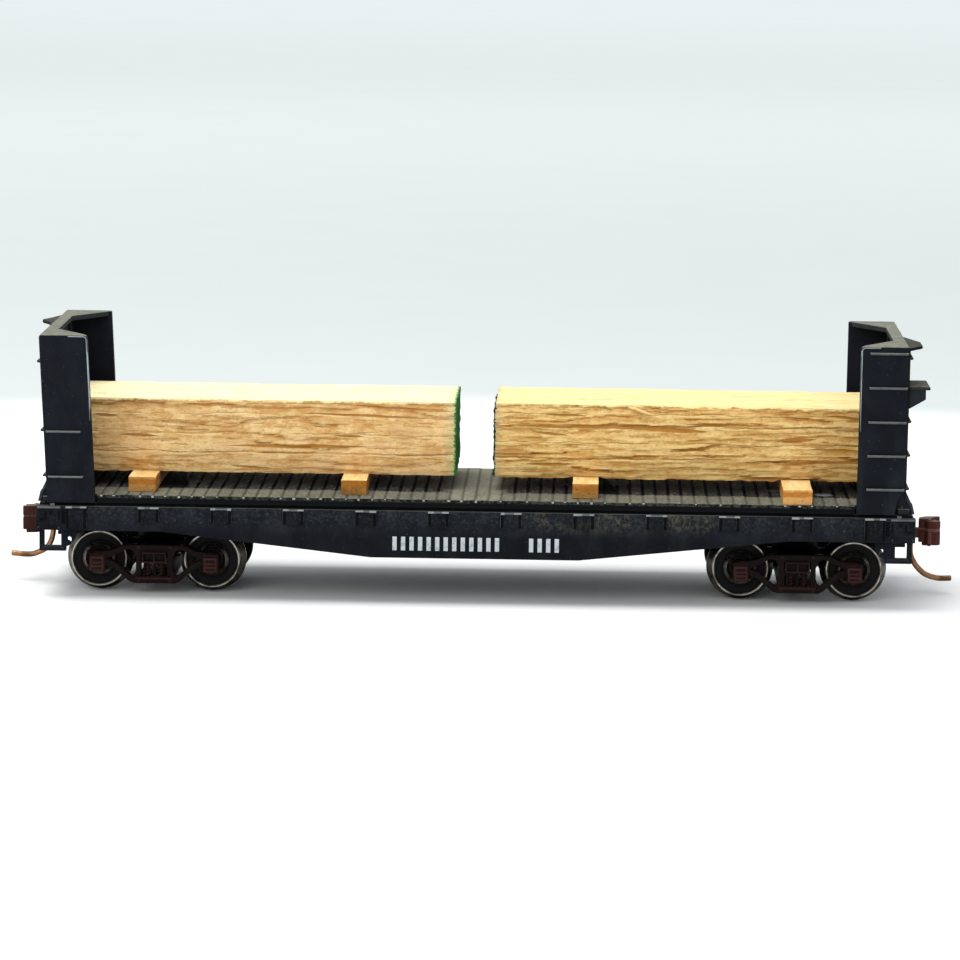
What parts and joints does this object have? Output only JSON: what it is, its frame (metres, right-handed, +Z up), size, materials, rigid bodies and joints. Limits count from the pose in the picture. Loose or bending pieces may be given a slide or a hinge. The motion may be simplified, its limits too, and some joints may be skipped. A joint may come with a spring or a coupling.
{
  "type": "model flat car",
  "caption": "Small-scale railway flat car with a fish-belly frame, high end bulkheads, a lumber load on cross blocks, swivelling four-wheel trucks and knuckle couplers",
  "frame": {"origin": "Middle of the car in plan, at the lowest point of the wheel flanges.", "axes": "+X along the car towards the bulkhead that carries the brake step, +Z up, -Y the near side shown with the five-rung ladder at +X."},
  "size_m": [0.0883, 0.0218, 0.0244],
  "materials": {
    "body_black": "satin blue-black, dusty on top faces",
    "deck_grey": "matte, dusted grey-tan over black",
    "truck_brown": "satin dark red-brown",
    "wheel_black": "blackened metal, bright on the rim edge",
    "axle_steel": "dull turned metal",
    "coupler_brown": "satin rust brown",
    "pin_copper": "smooth copper-coloured wire",
    "lumber": "rough-sawn pale softwood",
    "dunnage_wood": "sawn orange-tan wood"
  },
  "bodies": {
    "car_body": {"underframe": "body_black", "deck": "deck_grey", "bulkhead_left": "body_black", "bulkhead_right": "body_black", "end_ledge_left": "body_black", "end_ledge_right": "body_black", "brake_step": "body_black", "stirrup_left_near": "body_black", "stirrup_left_far": "body_black", "stirrup_right_near": "body_black", "stirrup_right_far": "body_black", "dunnage_1": "dunnage_wood", "dunnage_2": "dunnage_wood", "dunnage_3": "dunnage_wood", "dunnage_4": "dunnage_wood", "coupler_box_left": "body_black", "coupler_box_right": "body_black", "coupler_lid_left": "body_black", "coupler_lid_right": "body_black", "coupler_screw_left": "axle_steel", "coupler_screw_right": "axle_steel", "king_pin_left": "body_black", "king_pin_right": "body_black"},
    "truck_left": {"truck_frame_left": "truck_brown"},
    "wheelset_left_outer": {"axle_left_outer": "axle_steel", "wheel_left_outer_near": "wheel_black", "wheel_left_outer_far": "wheel_black"},
    "wheelset_left_inner": {"axle_left_inner": "axle_steel", "wheel_left_inner_near": "wheel_black", "wheel_left_inner_far": "wheel_black"},
    "coupler_left": {"coupler_head_left": "coupler_brown", "knuckle_left": "coupler_brown", "trip_pin_left": "pin_copper"},
    "lumber_left": {"load_left": "lumber"},
    "truck_right": {"truck_frame_right": "truck_brown"},
    "wheelset_right_outer": {"axle_right_outer": "axle_steel", "wheel_right_outer_near": "wheel_black", "wheel_right_outer_far": "wheel_black"},
    "wheelset_right_inner": {"axle_right_inner": "axle_steel", "wheel_right_inner_near": "wheel_black", "wheel_right_inner_far": "wheel_black"},
    "coupler_right": {"coupler_head_right": "coupler_brown", "knuckle_right": "coupler_brown", "trip_pin_right": "pin_copper"},
    "lumber_right": {"load_right": "lumber"}
  },
  "joints": [
    {"name": "truck_swivel_left", "type": "hinge", "parent": "car_body", "child": "truck_left", "pos_m": [-0.02967, 0, 0.0059], "axis": [0, 0, 1], "range_deg": [-12, 12]},
    {"name": "wheel_roll_left_outer", "type": "hinge", "parent": "truck_left", "child": "wheelset_left_outer", "pos_m": [-0.0349, 0, 0.0031], "axis": [0, 1, 0], "continuous": true},
    {"name": "wheel_roll_left_inner", "type": "hinge", "parent": "truck_left", "child": "wheelset_left_inner", "pos_m": [-0.02444, 0, 0.0031], "axis": [0, 1, 0], "continuous": true},
    {"name": "coupler_swing_left", "type": "hinge", "parent": "car_body", "child": "coupler_left", "pos_m": [-0.03735, 0, 0.0058], "axis": [0, 0, 1], "range_deg": [-8, 8], "stiffness_Nm_per_rad": 0.00002},
    {"name": "load_lift_left", "type": "slide", "parent": "car_body", "child": "lumber_left", "axis": [0, 0, 1], "range_m": [0, 0.0058]},
    {"name": "truck_swivel_right", "type": "hinge", "parent": "car_body", "child": "truck_right", "pos_m": [0.02967, 0, 0.0059], "axis": [0, 0, 1], "range_deg": [-12, 12]},
    {"name": "wheel_roll_right_outer", "type": "hinge", "parent": "truck_right", "child": "wheelset_right_outer", "pos_m": [0.0349, 0, 0.0031], "axis": [0, 1, 0], "continuous": true},
    {"name": "wheel_roll_right_inner", "type": "hinge", "parent": "truck_right", "child": "wheelset_right_inner", "pos_m": [0.02444, 0, 0.0031], "axis": [0, 1, 0], "continuous": true},
    {"name": "coupler_swing_right", "type": "hinge", "parent": "car_body", "child": "coupler_right", "pos_m": [0.038, 0, 0.0058], "axis": [0, 0, 1], "range_deg": [-8, 8], "stiffness_Nm_per_rad": 0.00002},
    {"name": "load_lift_right", "type": "slide", "parent": "car_body", "child": "lumber_right", "axis": [0, 0, 1], "range_m": [0, 0.0058]}
  ]
}
